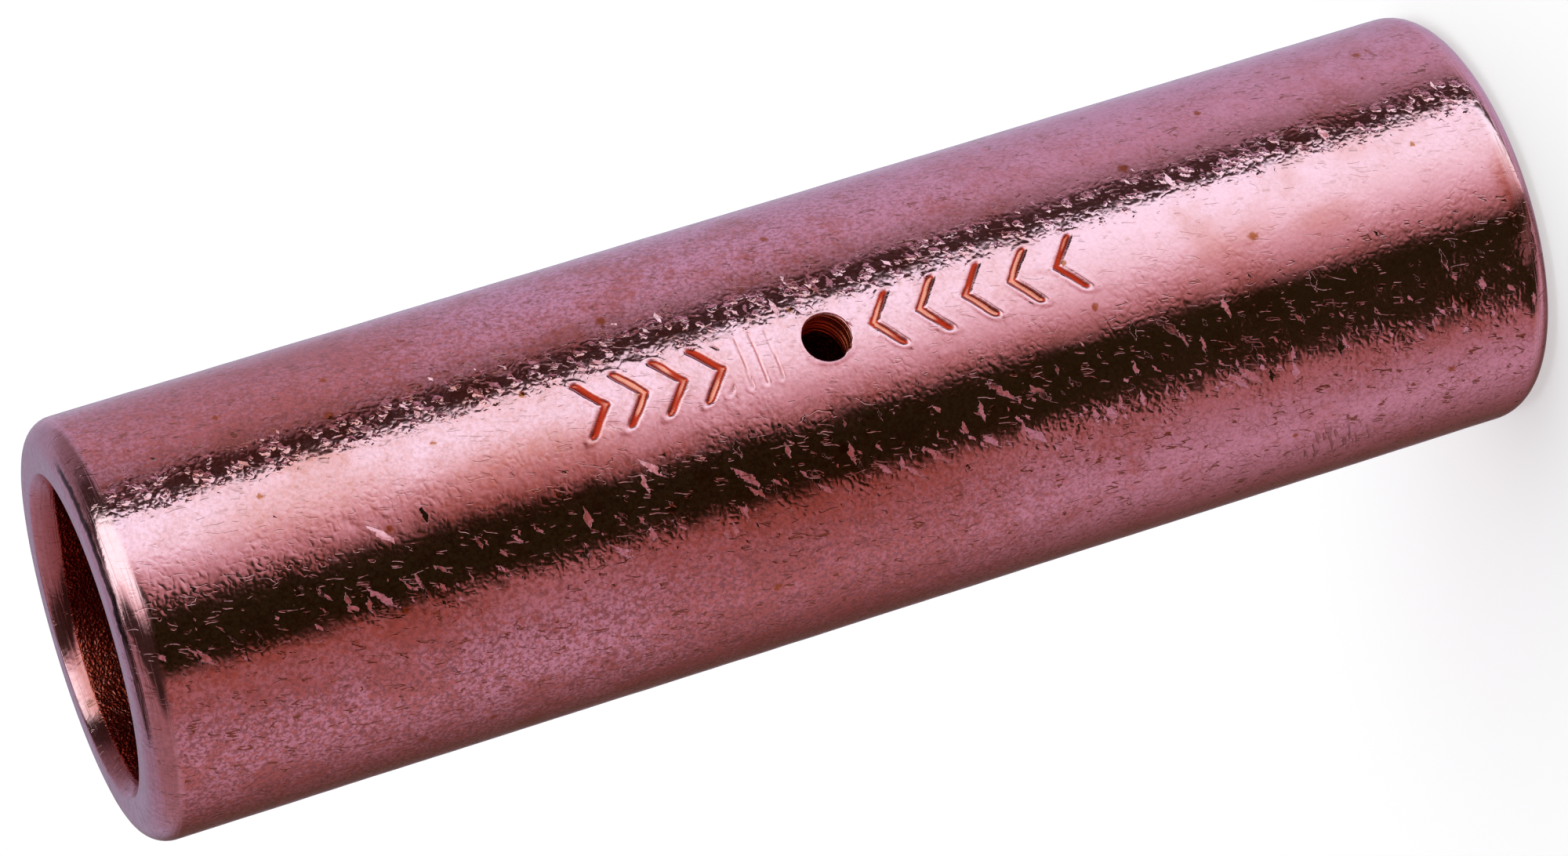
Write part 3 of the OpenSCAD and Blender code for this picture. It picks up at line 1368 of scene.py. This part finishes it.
@dataclass
class Studio:
    """Pale floor and backdrop, soft panels all round and one broad soft light from above.

    Angles are degrees round from the camera's side and above the floor, and lengths are metres. Each edge of
    a panel is an angle and a colour.
    """

    camera_turn: float = -107.746
    camera_height: float = 16.5
    floor_half: float = 3.0
    floor_colour: Colour = (0.95, 0.95, 0.95, 1.0)
    floor_glow: float = 0.5
    wall_height: float = 4.0
    wall_sides: int = 48
    wall_sunk: float = 0.01
    light_turn: float = 130.0
    light_height: float = 70.0
    light_spread: float = 70.0
    light_strength: float = 2.45
    panel_peak: float = 2.0
    # Dark card high above the sleeve
    flag_turn: float = -150.0
    flag_height: float = 70.0
    flag_reach: float = 17.0
    flag_edge: float = 3.0
    flag: Colour = (0.02, 0.012, 0.01, 1.0)
    # Heights between which the lower panels lean, and how much their dark part leans and bows
    lean_heights: Range = (-26.0, -4.0)
    dark_lean: Easing = (-42.0, -4.0, 2.3, 0.95)
    dark_bow: Easing = (-42.0, -4.0, -0.15, 0.10)
    lean_start: Range = (-120.0, -60.0)
    lean_end: Easing = (8.0, 40.0, 1.0, 0.0)
    early_from: float = 2.0
    early_rate: float = 0.5
    early_edge: Range = (30.0, 50.0)
    high_from: float = 20.0
    high_rate: float = 0.6
    panel_change: Range = (-7.0, 10.0)
    low_panels: tuple[Colour, ...] = (
        (-180.0, 0.36, 0.31, 0.39),
        (-165.0, 0.14, 0.09, 0.08),
        (-150.0, 0.15, 0.08, 0.066),
        (-136.0, 0.24, 0.13, 0.13),
        (-120.0, 0.38, 0.255, 0.29),
        (-96.0, 0.57, 0.45, 0.55),
        (-74.0, 0.50, 0.37, 0.44),
        (-46.0, 0.41, 0.215, 0.19),
        (-39.0, 0.021, 0.019, 0.006),
        (-6.5, 0.021, 0.019, 0.006),
        (0.5, 0.42, 0.25, 0.23),
        (8.0, 0.64, 0.48, 0.49),
        (16.0, 0.84, 0.79, 0.82),
        (24.0, 1.02, 1.15, 1.18),
        (32.0, 1.12, 1.43, 1.46),
        (42.0, 1.19, 1.64, 1.70),
        (57.0, 1.23, 1.74, 1.83),
        (59.5, 0.05, 0.032, 0.028),
        (72.0, 0.06, 0.04, 0.035),
        (79.0, 0.365, 0.29, 0.326),
        (96.0, 0.59, 0.50, 0.64),
        (112.0, 0.60, 0.54, 0.72),
        (144.0, 0.53, 0.48, 0.67),
        (165.0, 0.55, 0.52, 0.69),
        (180.0, 0.36, 0.31, 0.39),
    )
    high_panels: tuple[Colour, ...] = (
        (-180.0, 0.35, 0.34, 0.46),
        (-150.0, 0.38, 0.34, 0.46),
        (-130.0, 0.36, 0.26, 0.30),
        (-60.0, 0.34, 0.21, 0.22),
        (-46.0, 0.04, 0.025, 0.02),
        (-8.0, 0.04, 0.025, 0.02),
        (4.0, 0.9, 0.8, 0.8),
        (16.0, 1.40, 1.80, 1.75),
        (57.0, 1.40, 1.80, 1.75),
        (61.0, 0.03, 0.02, 0.015),
        (84.0, 0.05, 0.03, 0.03),
        (104.0, 0.22, 0.17, 0.20),
        (125.0, 0.26, 0.21, 0.26),
        (142.0, 0.38, 0.37, 0.50),
        (180.0, 0.35, 0.34, 0.46),
    )

    def way(self, angle: float, height: float) -> Vector:
        """Gives the direction from the sleeve."""
        turn, rise = math.radians(self.camera_turn + angle), math.radians(height)
        return Vector((math.cos(turn) * math.cos(rise), math.sin(turn) * math.cos(rise), math.sin(rise)))

    def ramp(self, turn: Term, panels: tuple[Colour, ...]) -> Term:
        """Panels as a colour by direction round the sleeve.

        Args:
            turn: degrees round from the camera's side.
            panels: the panels' edges.

        Returns:
            The colour, as a share of the brightest panel.
        """
        node = turn.board.add("ShaderNodeValToRGB", {0: turn.board.math("FRACT", turn / 360.0 + 0.5)})
        stops = node.color_ramp.elements
        while len(stops) > 1:
            stops.remove(stops[-1])
        for number, (angle, *shade) in enumerate(panels):
            spot = (angle + 180.0) / 360.0
            stop = stops.new(spot) if number else stops[0]
            stop.position = spot
            stop.color = (*(part / self.panel_peak for part in shade), 1.0)
        return Term(turn.board, node.outputs["Color"])

    def lean(self, turn: Term, height: Term) -> Term:
        """How far the lower panels lean aside.

        Args:
            turn: degrees round from the camera's side.
            height: degrees above the floor.

        Returns:
            The degrees that a panel is turned on.
        """
        low, high = self.lean_heights
        level = height.least(high).most(low) + self.camera_height
        lean = level * (level * turn.fit(*self.dark_bow) + turn.fit(*self.dark_lean))
        lean = lean * (turn.fit(*self.lean_end) * turn.fit(*self.lean_start))
        early = (level - self.early_from).most(0.0) * self.early_rate
        return lean - early * turn.fit(*self.early_edge)

    def world(self) -> None:
        """Hangs the panels round the sleeve, the lower ones leaning a little."""
        world = bpy.data.worlds.new("studio")
        bpy.context.scene.world = world
        world.use_nodes = True
        world.node_tree.nodes.clear()
        board = Board(world.node_tree)
        ray = board.wire("ShaderNodeTexCoord", {}, "Generated")
        x, y, z = board.split(ray)
        height = board.math("ARCSINE", z) * DEGREE
        turn = board.math("WRAP", board.math("ARCTAN2", y, x) * DEGREE - self.camera_turn, 180.0, -180.0)
        low = self.ramp(turn - self.lean(turn, height), self.low_panels)
        rise = (height - self.high_from).most(0.0) * self.high_rate
        panels = board.blend(height.fit(*self.panel_change), low, self.ramp(turn - rise, self.high_panels))
        card = tuple(self.way(self.flag_turn, self.flag_height))
        aim = board.vector("DOT_PRODUCT", ray, card, out="Value")
        off = board.math("ARCCOSINE", aim.least(1.0)) * DEGREE
        flag = off.fit(self.flag_reach - self.flag_edge, self.flag_reach + self.flag_edge, 1.0, 0.0)
        feeds = {"Color": board.blend(flag, panels, self.flag), "Strength": self.panel_peak}
        board.add("ShaderNodeOutputWorld", {"Surface": board.wire("ShaderNodeBackground", feeds)})

    def sheet(
        self, name: str, finish: str, points: list[tuple], faces: list[tuple]
    ) -> tuple[bpy.types.Object, Board]:
        """Makes one plain sheet of the stage.

        Reflections look past it to the panels. The sleeve stands here but lies in the photograph, so the
        floor would be mirrored where the real one shows the dark and pale panels of its studio.

        Args:
            name: the sheet's name.
            finish: its material's name.
            points: its corners.
            faces: its faces.

        Returns:
            The sheet, and the empty tree of its material.
        """
        mesh = bpy.data.meshes.new(name)
        mesh.from_pydata(points, [], faces)
        sheet = bpy.data.objects.new(name, mesh)
        bpy.context.scene.collection.objects.link(sheet)
        sheet.visible_glossy = False
        paint = bpy.data.materials.new(finish)
        paint.use_nodes = True
        paint.node_tree.nodes.clear()
        mesh.materials.append(paint)
        return sheet, Board(paint.node_tree)

    def floor(self) -> None:
        """Lays the pale floor, which takes the sleeve's shadow."""
        h = self.floor_half
        corners = [(-h, -h, 0.0), (h, -h, 0.0), (h, h, 0.0), (-h, h, 0.0)]
        _, board = self.sheet("floor", "pale_floor", corners, [(0, 1, 2, 3)])
        matt = board.wire("ShaderNodeBsdfDiffuse", {"Color": self.floor_colour})
        glow = board.wire("ShaderNodeEmission", {"Strength": 1.0})
        mix = board.wire("ShaderNodeMixShader", {0: self.floor_glow, 1: matt, 2: glow})
        board.add("ShaderNodeOutputMaterial", {"Surface": mix})

    def backdrop(self) -> None:
        """Stands the white backdrop all round the floor."""
        n, r = self.wall_sides, self.floor_half
        turns = [2 * math.pi * k / n for k in range(n)]
        levels = (-self.wall_sunk, self.wall_height)
        points = [(r * math.cos(a), r * math.sin(a), z) for z in levels for a in turns]
        faces = [(k, n + k, n + (k + 1) % n, (k + 1) % n) for k in range(n)]
        wall, board = self.sheet("backdrop", "white_backdrop", points, faces)
        glow = board.wire("ShaderNodeEmission", {"Color": (1.0, 1.0, 1.0, 1.0), "Strength": 1.0})
        board.add("ShaderNodeOutputMaterial", {"Surface": glow})
        wall.visible_diffuse = False
        wall.visible_shadow = False

    def soft_light(self) -> None:
        """Sets the broad light that fills the floor and gives the sleeve its soft shadow."""
        data = bpy.data.lights.new("broad_light", "SUN")
        data.angle = math.radians(self.light_spread)
        data.energy = self.light_strength
        lamp = bpy.data.objects.new("broad_light", data)
        lamp.rotation_euler = self.way(self.light_turn, self.light_height).to_track_quat("Z", "Y").to_euler()
        lamp.visible_glossy = False
        bpy.context.scene.collection.objects.link(lamp)

    def build(self) -> None:
        """Sets the whole studio up."""
        self.world()
        self.floor()
        self.backdrop()
        self.soft_light()


def main() -> None:
    """Builds the sleeve, the studio and the camera."""
    logging.basicConfig(level=logging.INFO, format="%(message)s")
    bpy.context.scene.view_settings.view_transform = "Standard"
    sleeve = Sleeve().build()
    LOG.info("piece %s: %d triangles", sleeve.name, sum(len(p.vertices) - 2 for p in sleeve.data.polygons))
    Studio().build()
    low, high = CAD_BOX
    PhotoCamera().place((Vector(low) + Vector(high)) / 2)


if __name__ == "__main__":
    main()
